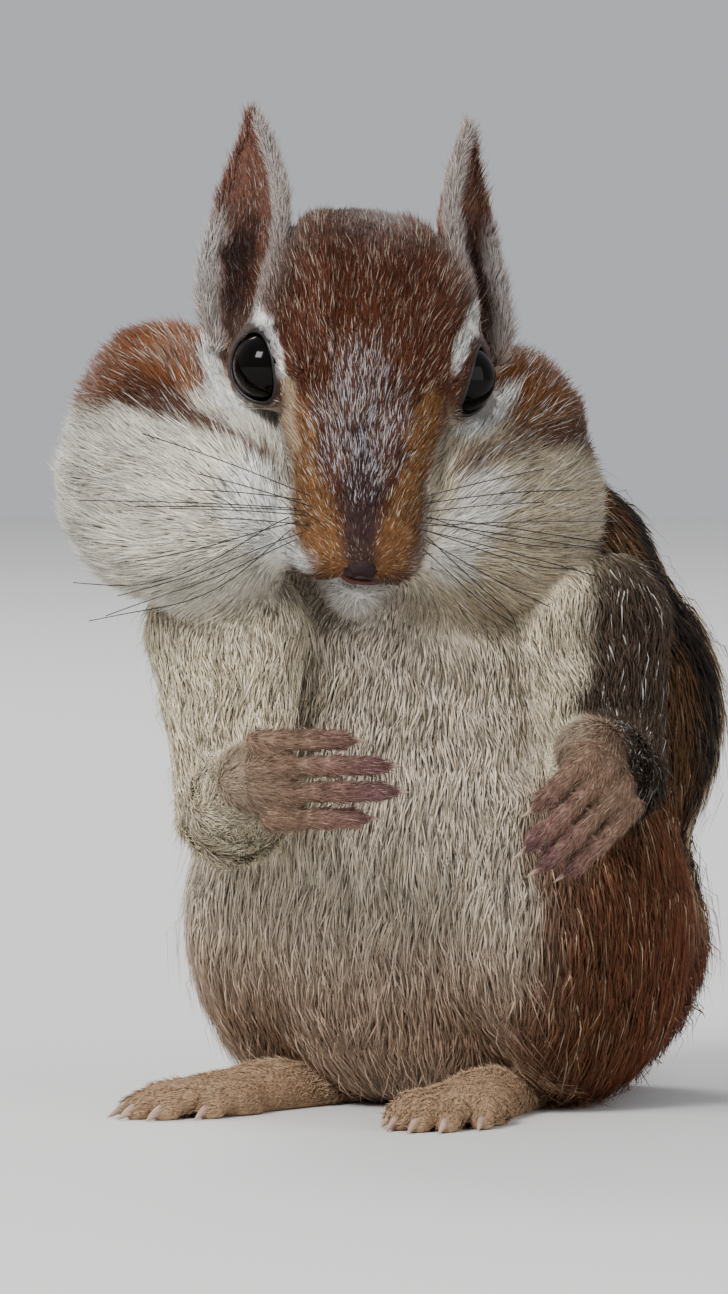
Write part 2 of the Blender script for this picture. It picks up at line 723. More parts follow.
def sunkZone(name):
    zone = zones[zoneOf[name]]
    return sunk(zone["form"], zone["depth"])


def bothSunk(kind):
    return [sunkZone(kind + "_" + side["name"]) for side in sides]


# how softly the parts of the skin run into each other, in mm
folds = {"face": 2, "dish": 6, "lid": 1.4, "thighs": 5, "body": 3.5, "neck": 2.5, "forearm": 2.5, "ends": 1.5,
         "tail": 2, "earHollow": 1.2, "ear": 1.4, "socket": 0.3, "socketGap": 0.15}


def wholeField():
    face = blend(folds["face"], sunkZone("head"), sunkZone("jaw"), *bothSunk("cheek"))
    face = hollowed(folds["dish"], face, *[dishField(side) for side in sides])
    reach = pose["eyeRadius"] + eye["flesh"]
    face = blend(folds["lid"], face, *[nearby(lidFlesh(side), eyeCentre(side), reach) for side in sides])
    haunches = blend(folds["thighs"], *bothSunk("thigh"))
    body = blend(folds["body"], sunkZone("trunk"), haunches, sunkZone("neck"), *bothSunk("arm"))
    whole = blend(folds["neck"], face, body)
    whole = blend(folds["forearm"], whole, *bothSunk("forearm"))
    whole = blend(folds["ends"], whole, *bothSunk("hand"), *bothSunk("foot"))
    whole = blend(folds["tail"], whole, sunkZone("tail"))
    hollows = [formOf(head, earShape["hollow"], side["s"]) for side in sides]
    whole = hollowed(folds["earHollow"], whole, *hollows)
    whole = blend(folds["ear"], whole, *bothSunk("ear"))
    sockets = [ball(head, eyeSpot(side), [pose["eyeRadius"] + folds["socketGap"]] * 3) for side in sides]
    return hollowed(folds["socket"], whole, *sockets, mouthGroove())


# the mouth line from its middle to its left corner, laid onto the face and mirrored
mouth = {"half": [[17.6, -14.2, 0], [16.6, -14.6, 3.2], [14.6, -15, 6.2], [11.4, -14.6, 8.6]], "steps": 23,
         "groove": 0.75, "end": 0.25}


def slopeOf(form, points, step=0.02):
    here = form(points)
    return np.stack([(form(points + np.eye(3)[k] * step) - here) / step for k in range(3)], axis=1)


def ontoForm(form, points, steps=3):
    points = np.array(points, float)
    for _ in range(steps):
        here = form(points)
        slope = slopeOf(form, points)
        points = points - slope * (here / np.maximum((slope ** 2).sum(axis=1), 0.2))[:, None]
    return points


def mouthPath():
    face = blend(folds["face"], sunkZone("head"), sunkZone("jaw"))
    half = [place(head, p) for p in mouth["half"]]
    other = [place(head, [p[0], p[1], -p[2]]) for p in mouth["half"][:0:-1]]
    line = smoothPath(ontoForm(face, other + half), mouth["steps"])
    return ontoForm(face, line)


mouthLine = mouthPath()


def mouthGroove():
    radii = mouth["groove"] * np.sin(np.linspace(mouth["end"], math.pi - mouth["end"], len(mouthLine)))
    return chain(frameOf(-shift, [1, 0, 0], [0, 1, 0], [0, 0, 1]), list(mouthLine), list(radii), 0.2)


# a closed surface where a form is zero: only blocks of cells near it are filled in, some blocks at a time
nets = {"block": 6, "near": 1.5, "batch": 400}


def cubeOf(counts):
    return np.stack(np.meshgrid(*[np.arange(n) for n in counts], indexing="ij"), axis=-1).reshape(-1, 3)


def polygonise(form, low, high, cell):
    block = nets["block"]
    low = np.array(low, float)
    count = np.ceil((np.array(high) - low) / cell / block).astype(int) + 1
    grid = cubeOf(count)
    rough = form(low + (grid * block + (block - 1) / 2) * cell)
    near = np.abs(rough) < cell * block * nets["near"]
    values = np.where(rough < 0, -1.0, 1.0).reshape(count)
    for axis in range(3):
        values = np.repeat(values, block, axis)
    values = values.astype(np.float32)
    inner = cubeOf([block] * 3)
    starts = grid[near] * block
    for first in range(0, len(starts), nets["batch"]):
        index = (starts[first:first + nets["batch"], None, :] + inner[None]).reshape(-1, 3)
        values[index[:, 0], index[:, 1], index[:, 2]] = form(low + index * cell)
    return surfaceNet(form, values, low, cell)


def surfaceNet(form, values, low, cell):
    inside = values < 0
    corners = [np.array([c & 1, (c >> 1) & 1, c >> 2]) for c in range(8)]
    span = np.array(values.shape) - 1
    total = sum(inside[c[0]:c[0] + span[0], c[1]:c[1] + span[1], c[2]:c[2] + span[2]].astype(np.uint8)
                for c in corners)
    cells = np.argwhere((total > 0) & (total < 8))
    number = np.full(span, -1, np.int32)
    number[tuple(cells.T)] = np.arange(len(cells))
    at = [values[tuple((cells + c).T)] for c in corners]
    mean, crossed = np.zeros((len(cells), 3)), np.zeros(len(cells))
    for a in range(8):
        for bit in (1, 2, 4):
            if a & bit:
                continue
            b = a | bit
            hit = (at[a] < 0) != (at[b] < 0)
            t = np.where(hit, at[a] / np.where(hit, at[a] - at[b], 1), 0)
            mean += hit[:, None] * (corners[a] + t[:, None] * (corners[b] - corners[a]))
            crossed += hit
    points = low + (cells + mean / crossed[:, None]) * cell
    quads = []
    for n in range(3):
        ahead = [slice(None)] * 3
        behind = [slice(None)] * 3
        ahead[n], behind[n] = slice(1, None), slice(None, -1)
        edges = np.argwhere(inside[tuple(behind)] != inside[tuple(ahead)])
        edges = edges[((edges > 0) & (edges < span)).all(axis=1)]
        s, t = np.eye(3, dtype=int)[(n + 1) % 3], np.eye(3, dtype=int)[(n + 2) % 3]
        around = [edges - a * s - b * t for a, b in ((0, 0), (1, 0), (1, 1), (0, 1))]
        quad = np.stack([number[tuple(at.T)] for at in around], axis=1)
        turned = ~inside[tuple(edges.T)]
        quad[turned] = quad[turned][:, ::-1]
        quads.append(quad)
    drift = ontoForm(form, points, 1) - points
    far = np.linalg.norm(drift, axis=1, keepdims=True)
    points = points + drift * np.minimum(1, 0.5 * cell / np.maximum(far, 1e-9))
    return points, np.vstack(quads)


skinSize = {"cell": 0.6, "margin": 2.5, "lowest": 0.05}


def makeSkin():
    low = np.array(cadBox[0]) / mm - skinSize["margin"]
    high = np.array(cadBox[1]) / mm + skinSize["margin"]
    form = wholeField()
    points, quads = polygonise(form, low, high, skinSize["cell"])
    normals = unit(slopeOf(form, points))
    points[:, 2] = np.maximum(points[:, 2], skinSize["lowest"])
    return points, quads, normals


skinPoints, skinQuads, skinNormals = makeSkin()
print("skin", len(skinPoints), "points,", 2 * len(skinQuads), "triangles")
bodyTree = BVHTree.FromPolygons([tuple(p) for p in skinPoints], skinQuads.tolist())


def onPhoto(u, v):
    # the place on the skin that shows at a pixel of the picture
    hit = bodyTree.ray_cast(Vector(cameraAt), Vector(rayThrough(u, v)))
    return np.array(hit[0]) if hit[0] is not None else None


# materials
def newGroup(name, inputs, outputs):
    group = bpy.data.node_groups.new(name, "ShaderNodeTree")
    for label, kind, value in inputs:
        socket = group.interface.new_socket(label, in_out="INPUT", socket_type="NodeSocket" + kind)
        socket.default_value = value
    for label, kind in outputs:
        group.interface.new_socket(label, in_out="OUTPUT", socket_type="NodeSocket" + kind)
    return group, group.nodes.new("NodeGroupInput").outputs, group.nodes.new("NodeGroupOutput").inputs


def join(tree, source, target):
    tree.links.new(source, target)


def mathNode(tree, operation, first, second):
    node = tree.nodes.new("ShaderNodeMath")
    node.operation = operation
    for socket, value in zip(node.inputs, (first, second)):
        if isinstance(value, (int, float)):
            socket.default_value = value
        else:
            join(tree, value, socket)
    return node.outputs[0]


def noiseNode(tree, scale, detail):
    coordinates = tree.nodes.new("ShaderNodeTexCoord")
    noise = tree.nodes.new("ShaderNodeTexNoise")
    noise.inputs["Detail"].default_value = detail
    join(tree, scale, noise.inputs["Scale"])
    join(tree, coordinates.outputs["Object"], noise.inputs["Vector"])
    return noise.outputs["Fac"]


def makeMottle():
    # darkens and lightens a colour by a soft noise, and gives a height for the bump
    inputs = [("Colour", "Color", (0.5, 0.5, 0.5, 1)), ("Scale", "Float", 300.0), ("Strength", "Float", 0.3)]
    group, given, wanted = newGroup("mottle", inputs, [("Colour", "Color"), ("Height", "Float")])
    noise = noiseNode(group, given["Scale"], 3)
    centred = mathNode(group, "SUBTRACT", noise, 0.5)
    amount = mathNode(group, "MULTIPLY", centred, given["Strength"])
    level = mathNode(group, "ADD", mathNode(group, "MULTIPLY", amount, 2.0), 1.0)
    scaled = group.nodes.new("ShaderNodeVectorMath")
    scaled.operation = "SCALE"
    join(group, given["Colour"], scaled.inputs[0])
    join(group, level, scaled.inputs["Scale"])
    join(group, scaled.outputs[0], wanted["Colour"])
    join(group, noise, wanted["Height"])
    return group


mottle = makeMottle()

# bump is in metres, coat is a clear coat
finishes = {
    "skinHide": {"attribute": "markings", "scale": 1600.0, "strength": 0.35, "roughness": 0.75,
                 "bump": 0.0004, "specular": 0.25},
    "coatHair": {"attribute": "hairColour", "scale": 900.0, "strength": 0.22, "roughness": 0.56,
                 "specular": 0.2},
    "eyeGloss": {"colour": colour(14, 8, 7), "scale": 250.0, "strength": 0.5, "roughness": 0.12, "coat": 0.14,
                 "specular": 0.06},
    "lidSkin": {"colour": colour(30, 23, 23), "scale": 1500.0, "strength": 0.4, "roughness": 0.42,
                "bump": 0.00015},
    "noseSkin": {"colour": colour(46, 33, 34), "scale": 1800.0, "strength": 0.5, "roughness": 0.7,
                 "bump": 0.0003, "specular": 0.2},
    "lipSkin": {"colour": colour(96, 50, 46), "scale": 1200.0, "strength": 0.4, "roughness": 0.45,
                "bump": 0.00015},
    "clawHorn": {"colour": colour(176, 148, 132), "scale": 700.0, "strength": 0.4, "roughness": 0.35},
    "whiskerHair": {"colour": colour(34, 27, 25), "scale": 300.0, "strength": 0.4, "roughness": 0.4},
}
bumpStrength = 0.6


def newMaterial(name, finish):
    material = bpy.data.materials.new(name)
    material.use_nodes = True
    tree = material.node_tree
    shader = tree.nodes["Principled BSDF"]
    node = tree.nodes.new("ShaderNodeGroup")
    node.node_tree = mottle
    node.inputs["Scale"].default_value = finish["scale"]
    node.inputs["Strength"].default_value = finish["strength"]
    if "colour" in finish:
        node.inputs["Colour"].default_value = (*finish["colour"], 1)
    else:
        paintNode = tree.nodes.new("ShaderNodeAttribute")
        paintNode.attribute_name = finish["attribute"]
        join(tree, paintNode.outputs["Color"], node.inputs["Colour"])
    join(tree, node.outputs["Colour"], shader.inputs["Base Color"])
    if "bump" in finish:
        bump = tree.nodes.new("ShaderNodeBump")
        bump.inputs["Strength"].default_value = bumpStrength
        bump.inputs["Distance"].default_value = finish["bump"]
        join(tree, node.outputs["Height"], bump.inputs["Height"])
        join(tree, bump.outputs[0], shader.inputs["Normal"])
    shader.inputs["Roughness"].default_value = finish["roughness"]
    shader.inputs["Coat Weight"].default_value = finish.get("coat", 0.0)
    shader.inputs["Specular IOR Level"].default_value = finish.get("specular", 0.5)
    return material


materials = {name: newMaterial(name, finish) for name, finish in finishes.items()}


# eyes, lids, nose, lips
def band(low, high, count):
    # two triangles to each step between a ring of points that starts at low and one that starts at high
    a = np.arange(count)
    b = (a + 1) % count
    return [np.stack([low + a, low + b, high + b], 1), np.stack([low + a, high + b, high + a], 1)]


def ringSkin(rings, first, last):
    # a closed skin over rings of equal count, with a point at each end
    rings = np.array(rings)
    rows, count = rings.shape[:2]
    points = np.vstack([rings.reshape(-1, 3), [first], [last]])
    a = np.arange(count)
    b = (a + 1) % count
    faces = []
    for n in range(rows - 1):
        faces += band(n * count, (n + 1) * count, count)
    end = np.full(count, rows * count)
    top = (rows - 1) * count
    faces += [np.stack([end, b, a], 1), np.stack([end + 1, top + a, top + b], 1)]
    return points, np.vstack(faces)


def loopSkin(rings):
    # a closed tube that runs round into itself
    rings = np.array(rings)
    rows, count = rings.shape[:2]
    faces = []
    for n in range(rows):
        faces += band(n * count, ((n + 1) % rows) * count, count)
    return rings.reshape(-1, 3), np.vstack(faces)


def circle(centre, x, y, radius, count):
    turns = np.linspace(0, 2 * math.pi, count, endpoint=False)[:, None]
    return centre + radius * (np.cos(turns) * x + np.sin(turns) * y)


def joined(meshes):
    points, faces, start = [], [], 0
    for p, f in meshes:
        points.append(p)
        faces.append(f + start)
        start += len(p)
    return np.vstack(points), np.vstack(faces)


def outward(points, faces, middle):
    # turns a closed skin's faces outwards if they point in
    a, b, c = (points[faces[:, k]] - middle for k in range(3))
    return faces if np.einsum("ij,ij->i", a, np.cross(b, c)).sum() > 0 else faces[:, ::-1]


def addPiece(name, points, faces, material, slot, nodes=()):
    piece = newPiece(name, points, faces)
    piece.data.materials.append(materials[material])
    settle(piece, nodes)
    return piece


def addEye(side):
    centre, axis, ahead, over = eyeFrame(side)
    rings = []
    for angle in np.linspace(0, math.pi, eye["rows"] + 2)[1:-1]:
        radius = pose["eyeRadius"] + eye["cornea"] * math.exp(-(angle / eye["corneaSpan"]) ** 2)
        middle = centre + axis * math.cos(angle) * radius
        rings.append(circle(middle, ahead, over, math.sin(angle) * radius, eye["columns"]))
    reach = pose["eyeRadius"]
    points, faces = ringSkin(rings, centre + axis * (reach + eye["cornea"]), centre - axis * reach)
    faces = outward(points, faces, centre)
    addPiece("eyeball_" + side["name"], points, faces, "eyeGloss", "eye", ["eye_" + side["name"]])


def addLid(side):
    # a thin tube of bare skin along the edge of the lids
    centre, axis, ahead, over = eyeFrame(side)
    turns = np.linspace(0, 2 * math.pi, eye["lidSteps"], endpoint=False)
    opening = eyeOpening(turns)
    out = np.cos(turns)[:, None] * ahead + np.sin(turns)[:, None] * over
    way = np.cos(opening)[:, None] * axis + np.sin(opening)[:, None] * out
    line = centre + way * (pose["eyeRadius"] + eye["lidRise"])
    along = unit(np.roll(line, -1, axis=0) - np.roll(line, 1, axis=0))
    rings = []
    for at, turn, ahead, up in zip(line, turns, along, way):
        across = unit(np.cross(ahead, up))
        uneven = 1 + eye["lidCorners"] * math.cos(2 * turn) + eye["lidUneven"] * math.sin(7 * turn)
        thick = eye["lidRadius"] * uneven
        ring = circle(at, across, up, thick, eye["lidSides"])
        rings.append(at + (ring - at) * (1 - eye["lidFlat"] * np.abs((ring - at) @ up / thick)[:, None]))
    addPiece("lid_" + side["name"], *loopSkin(rings), "lidSkin", "nose_skin")


# a small bare pad with a comma of a nostril on each side and a cleft down its middle
nose = {"pad": ([19.2, -8.1, 0], [1.65, 1.25, 1.35]), "wing": ([19.1, -8.8, 1.0], [1.6, 1.05, 1.0]),
        "nostril": [[21.2, -8.9, 1.15], [20.3, -8.7, 1.6], [19.3, -8.2, 2.1]],
        "nostrilRadii": [0.4, 0.38, 0.25], "cleft": [[21.5, -8.6, 0], [21.1, -9.6, 0], [20.2, -10.9, 0]],
        "cleftRadii": [0.12, 0.22, 0.22], "blend": 0.7, "edge": 0.3, "middle": [19, -9, 0], "reach": 4.5,
        "cell": 0.16}


def nosePad():
    wings = [formOf(head, nose["wing"], side["s"]) for side in sides]
    return blend(nose["blend"], formOf(head, nose["pad"]), *wings)


def addNose():
    nostrils = [chain(head, np.array(nose["nostril"]) * [1, 1, side["s"]], nose["nostrilRadii"], 0.2)
                for side in sides]
    cleft = chain(head, nose["cleft"], nose["cleftRadii"], 0.1)
    form = hollowed(nose["edge"], nosePad(), *nostrils, cleft)
    middle = place(head, nose["middle"])
    points, quads = polygonise(form, middle - nose["reach"], middle + nose["reach"], nose["cell"])
    addPiece("nosePad", points, quads, "noseSkin", "nose_skin", ["nose"])


lips = {"radius": 0.34, "end": 0.2, "sink": 0.1, "above": 0.25, "sides": 8}


def addLips():
    # the bare edge of the upper lip along the mouth line
    out = unit(slopeOf(sunkZone("head"), mouthLine))
    along = unit(np.gradient(mouthLine, axis=0))
    angles = lips["end"] + (math.pi - 2 * lips["end"]) * np.arange(len(mouthLine)) / (len(mouthLine) - 1)
    rings = []
    for at, ahead, up, angle in zip(mouthLine, along, out, angles):
        across = unit(np.cross(ahead, up))
        middle = at - up * lips["sink"] + across * lips["above"]
        rings.append(circle(middle, across, up, lips["radius"] * math.sin(angle), lips["sides"]))
    addPiece("lips", *ringSkin(rings, mouthLine[0], mouthLine[-1]), "lipSkin", "nose_skin")


for side in sides:
    addEye(side)
    addLid(side)
addNose()
addLips()
print("eyes, lids, nose and lips made")


# claws: lengths and heights in mm, stations in shares of the length, widths in shares of the digit's radius
claws = {"stations": [-0.35, -0.1, 0.2, 0.45, 0.7, 0.88], "around": 8, "narrow": 0.72, "taper": 0.86,
         "swell": 1.1, "bend": 0.4, "lowest": 0.12, "handLength": 2.6, "handWidth": 0.5, "footLength": 3.0,
         "footWidth": 0.46, "toeTip": 2.0}


def clawSkin(root, way, bend, length, radius):
    way = unit(way)
    across = unit(np.cross(way, bend))
    over = np.cross(across, way)
    rings = []
    for t in claws["stations"]:
        size = radius * (1 - claws["taper"] * max(t, 0) ** claws["swell"])
        middle = root + way * t * length + bend * t * t * length * claws["bend"]
        rings.append(circle(middle, across * claws["narrow"], over, size, claws["around"]))
    inner = root + way * claws["stations"][0] * length
    tip = root + way * length + bend * length * claws["bend"]
    points, faces = ringSkin(rings, inner, tip)
    faces = outward(points, faces, root)
    points[:, 2] = np.maximum(points[:, 2], claws["lowest"])
    return points, faces


def addClaws(side):
    bones, over = fingerBones(side)
    fingerRadius, toeRadius = digits["finger"] * claws["handWidth"], digits["toe"] * claws["footWidth"]
    made = [clawSkin(line[-1] + shift, line[-1] - line[-2], -over, claws["handLength"], fingerRadius)
            for line in bones]
    level, down = np.array([1, 1, 0]), np.array([0, 0, -1.0])
    for line in toeBones(side):
        root = np.array([*line[-1][:2], claws["toeTip"]]) + shift
        made.append(clawSkin(root, (line[-1] - line[-2]) * level, down, claws["footLength"], toeRadius))
    addPiece("claws_" + side["name"], *joined(made), "clawHorn", "tan_fur")


for side in sides:
    addClaws(side)


# markings, shared by the skin and the coat
paints = {"russet": (86, 48, 31), "rufous": (124, 74, 41), "orange": (118, 74, 42), "bridge": (92, 66, 58),
          "silver": (196, 191, 197), "ochre": (132, 92, 57), "dark": (48, 33, 29), "snout": (58, 42, 42),
          "cream": (234, 227, 210), "white": (238, 235, 229), "buff": (190, 166, 136),
          "shade": (204, 188, 160), "pouchDark": (84, 48, 31), "arm": (224, 210, 182),
          "armEdge": (62, 46, 37), "belly": (214, 200, 180), "groin": (184, 156, 134), "flank": (100, 72, 50),
          "haunch": (108, 62, 40), "stripe": (36, 28, 26), "pale": (190, 170, 138), "back": (102, 80, 62),
          "foot": (178, 146, 116), "hand": (138, 110, 92), "digit": (146, 110, 100),
          "fingertip": (128, 90, 94), "tail": (42, 31, 27), "tailBelow": (146, 84, 48),
          "frost": (204, 190, 168), "ear": (120, 78, 58), "earEdge": (186, 178, 172),
          "earCup": (108, 76, 66), "earDeep": (36, 24, 22)}
paints = {name: colour(*tone) for name, tone in paints.items()}

# the face's markings: paint, share, softness and half widths in mm, and the pixels that each runs along
strokes = [
    ("bridge", 0.75, 5.0, (2.5, 5.5, 4.0), [(362, 372), (362, 415), (362, 455)]),
    ("ochre", 0.95, 1.6, (2.2, 3.0), [(300, 420), (303, 470), (312, 520), (340, 562)]),
    ("ochre", 0.95, 1.6, (2.2, 2.8), [(425, 420), (418, 470), (406, 520), (382, 562)]),
    ("snout", 0.92, 2.2, (0.8, 2.5, 2.2, 1.7), [(362, 440), (362, 500), (361, 556)]),
    ("white", 1.0, 1.4, (3.4, 1.7), [(255, 500), (272, 535), (298, 560)]),
    ("white", 0.8, 1.6, (2.0, 3.0), [(448, 560), (462, 530), (475, 500)]),
    ("rufous", 0.95, 3.0, (2.2, 4.6), [(205, 392), (150, 385), (100, 378)]),
    ("rufous", 1.0, 2.5, (4.5, 3.6), [(105, 350), (160, 335), (205, 325)]),
    ("pouchDark", 0.95, 1.2, (2.2, 1.2, 0.6), [(150, 400), (212, 428), (272, 468)]),
    ("orange", 1.0, 2.6, (4.6, 4.8), [(505, 380), (555, 385), (605, 415)]),
    ("orange", 0.85, 3.0, (3.2, 3.4), [(520, 425), (570, 435), (612, 450)]),
    ("pouchDark", 0.7, 1.5, (0.9, 2.2), [(458, 478), (515, 445), (590, 440)]),
    ("buff", 0.8, 1.0, (0.9, 1.2), [(289, 385), (293, 415), (298, 450)]),
    ("white", 1.0, 1.0, (0.6, 1.2, 1.6, 1.3), [(212, 350), (214, 374), (228, 404), (262, 422)]),
    ("white", 1.0, 0.6, (0.8, 0.8), [(257, 316), (265, 330), (275, 350), (281, 374)]),
    ("white", 1.0, 0.6, (1.1, 0.9), [(478, 315), (462, 342), (453, 374)]),
    ("white", 1.0, 0.8, (1.5, 1.6), [(456, 442), (476, 432), (496, 404)]),
]
strokes = [dict(zip(("paint", "share", "soft", "width", "line"), row)) for row in strokes]
strokeSteps = {"perSpan": 5, "wobble": 0.35, "wobbleMost": 1.5}


def strokePath(stroke):
    places = []
    line = stroke["line"]
    for (u0, v0), (u1, v1) in zip(line[:-1], line[1:]):
        for t in np.linspace(0, 1, strokeSteps["perSpan"]):
            spot = onPhoto(u0 + (u1 - u0) * t, v0 + (v1 - v0) * t)
            if spot is not None:
                places.append(spot)
    return np.array(places)


for stroke in strokes:
    stroke["path"] = strokePath(stroke)


def strokeShare(points, stroke):
    path, widths = stroke["path"], stroke["width"]
    marks = np.linspace(0, 1, len(path))
    best = np.full(len(points), 1e9)
    width = np.zeros(len(points))
    for a, b, t in zip(path[:-1], path[1:], marks[:-1]):
        along = b - a
        k = np.clip((points - a) @ along / max(along @ along, 1e-9), 0, 1)
        d = np.linalg.norm(points - a - k[:, None] * along, axis=1)
        nearer = d < best
        best[nearer] = d[nearer]
        width[nearer] = np.interp(t, np.linspace(0, 1, len(widths)), widths)
    wobble = strokeSteps["wobble"] * ripple(points, "stroke") * min(stroke["soft"], strokeSteps["wobbleMost"])
    half = stroke["soft"] / 2
    return ease(width + half, width - half, best + wobble) * stroke["share"]


def zoneShares(points, softness=1.3):
    gaps = np.stack([zone["form"](points) + zone["depth"] for zone in zones], axis=1)
    gaps -= gaps.min(axis=1, keepdims=True)
    shares = np.exp(-gaps / softness)
    return shares / shares.sum(axis=1, keepdims=True)


def plain(name, points):
    return np.broadcast_to(paints[name], points.shape)


# angles in degrees round the trunk from the belly's middle, heights in mm
bodyMarks = {"axis": (-5, 1.5), "wander": 4, "bellyWander": 5, "bellySoft": 14, "haunchHigh": (40, 18),
             "haunchTurn": (50, 90), "backTurn": (140, 155), "stripesLow": (16, 30), "stripesHigh": (80, 68),
             "groinHigh": (30, 10), "stripeSoft": 3, "front": {"right": 70, "left": 38, "usual": 53},
             "stripes": [(112, 6.5, "stripe"), (124, 3.5, "pale"), (136, 6, "stripe"), (180, 6, "stripe")]}


def trunkPaint(points, front):
    # front is the angle at which the flank begins
    q = within(trunk, points)
    ahead, left = bodyMarks["axis"]
    turn = np.degrees(np.abs(np.arctan2(q[:, 2] - left, q[:, 0] - ahead)))
    turn = turn + bodyMarks["wander"] * ripple(points, "flank")
    height = points[:, 2]
    haunch = ease(*bodyMarks["haunchHigh"], height) * ease(*bodyMarks["haunchTurn"], turn)
    made = mixed(plain("flank", points), paints["haunch"], haunch)
    made = mixed(made, paints["back"], ease(*bodyMarks["backTurn"], turn))
    inStripes = ease(*bodyMarks["stripesLow"], height) * ease(*bodyMarks["stripesHigh"], height)
    soft = bodyMarks["stripeSoft"]
    for middle, half, name in bodyMarks["stripes"]:
        made = mixed(made, paints[name], ease(half + soft, half - soft, np.abs(turn - middle)) * inStripes)
    soft = bodyMarks["bellySoft"]
    belly = ease(front + soft, front - soft, turn + bodyMarks["bellyWander"] * ripple(points, "belly"))
    low = mixed(plain("belly", points), paints["groin"], ease(*bodyMarks["groinHigh"], height))
    return made + (low - made) * belly[:, None]


# along the hand, and out from the body's middle, in mm
limbMarks = {"armEdge": {"right": 26.5, "left": 19.0}, "armSoft": 3.5, "armShare": 0.96, "digits": (2, 6),
             "fingertips": (6.5, 9.5), "tipShare": 0.8}


def armPaint(side, points):
    # dark brown on the outer side, further in on the left arm
    edge = limbMarks["armEdge"][side["name"]]
    outer = ease(edge, edge + limbMarks["armSoft"], side["s"] * points[:, 0] + ripple(points, "arm"))
    return mixed(plain("arm", points), paints["armEdge"], outer * limbMarks["armShare"])


def handPaint(side, points):
    hand = hands[side["name"]]
    reach = (points - place(world, np.mean(hand["knuckles"], axis=0))) @ unit(hand["reach"])
    made = mixed(plain("hand", points), paints["digit"], ease(*limbMarks["digits"], reach))
    return mixed(made, paints["fingertip"], ease(*limbMarks["fingertips"], reach) * limbMarks["tipShare"])


# shares of the ear's length and of the way round it to a rim, which is 1 at the outer rim
earMarks = {"wander": 0.08, "cup": 0.6, "deepTop": (0.66, 0.42), "deepAt": 0.35, "deepWide": (0.5, 0.2),
            "innerRim": (0.62, 0.95), "innerShare": 0.75, "outerRim": (0.65, 0.9), "outerTop": (0.66, 0.45),
            "outerShare": 0.9}


def earPaint(side, points):
    # a deep slit in a brown cup, with pale rims
    t, _, turn, wrap, radius, rho = earPlace(side, points)
    outer = -side["s"] * turn / wrap + earMarks["wander"] * ripple(points, "ear")
    inner = (rho < radius).astype(float)
    deep = inner * ease(*earMarks["deepTop"], t)
    deep = deep * ease(*earMarks["deepWide"], np.abs(outer - earMarks["deepAt"]))
    outerRim = ease(*earMarks["outerRim"], outer) * ease(*earMarks["outerTop"], t)
    made = mixed(plain("ear", points), paints["earCup"], inner * earMarks["cup"])
    made = mixed(made, paints["earDeep"], deep)
    made = mixed(made, paints["earEdge"], ease(*earMarks["innerRim"], -outer) * earMarks["innerShare"])
    return mixed(made, paints["earEdge"], outerRim * earMarks["outerShare"])


def tailPaint(points):
    # dark above, rufous below
    nearest = (tailLine + shift)[nearestOnTail(points)]
    rise = (points[:, 2] - nearest[:, 2]) / tailShape["darkOver"]
    return mixed(plain("tailBelow", points), paints["tail"], ease(*tailShape["darkEdge"], rise))


# heights and places from front to back in mm
faceMarks = {"right": ("cream", "rufous"), "left": ("shade", "orange"), "capLow": (77, 84), "wander": 1.5,
             "capShare": 0.9, "behind": (-36, -24), "behindLow": (52, 70), "behindShare": 0.95,
             "neckTop": (74, 86), "napeLow": (68, 77), "napeBehind": (-32, -20), "jowlTop": (2, -8),
             "jowlAside": (5, 9), "jowlAhead": (-12, -4), "jowlShare": 0.8}


def cheekPaint(side, points):
    base, cap = faceMarks[side["name"]]
    top = ease(*faceMarks["capLow"], points[:, 2] + faceMarks["wander"] * ripple(points, "cheek"))
    behind = ease(*faceMarks["behind"], points[:, 1]) * ease(*faceMarks["behindLow"], points[:, 2])
    made = mixed(plain(base, points), paints[cap], top * faceMarks["capShare"])
    return mixed(made, paints["flank"], behind * faceMarks["behindShare"])


def neckPaint(points):
    nape = ease(*faceMarks["napeLow"], points[:, 2]) * ease(*faceMarks["napeBehind"], points[:, 1])
    tone = trunkPaint(points, bodyMarks["front"]["usual"])
    return mixed(tone, paints["russet"], np.maximum(ease(*faceMarks["neckTop"], points[:, 2]), nape))


def headPaint(points):
    q = within(head, points)
    low = ease(*faceMarks["jowlTop"], q[:, 1]) * ease(*faceMarks["jowlAside"], np.abs(q[:, 2]))
    low = low * ease(*faceMarks["jowlAhead"], q[:, 0])
    return mixed(plain("russet", points), paints["cream"], low * faceMarks["jowlShare"])


def thighPaint(side, points):
    # redder than the flank, but for the pale belly
    tone = trunkPaint(points, bodyMarks["front"][side["name"]])
    return mixed(tone, paints["haunch"], 0.55 * (tone[:, 0] < 0.4))


def zonePaint(name, kind, points):
    side = sides[0] if name.endswith("right") else sides[1]
    painters = {"cheek": cheekPaint, "arm": armPaint, "forearm": armPaint, "hand": handPaint, "ear": earPaint,
                "thigh": thighPaint}
    if kind in painters:
        return painters[kind](side, points)
    painters = {"neck": neckPaint, "head": headPaint, "tail": tailPaint}
    if kind in painters:
        return painters[kind](points)
    if kind == "trunk":
        return trunkPaint(points, bodyMarks["front"]["usual"])
    return plain({"foot": "foot", "jaw": "white"}[kind], points)


lidRim = {"edge": (0.17, 0.08), "reach": 2.2, "share": 0.8}


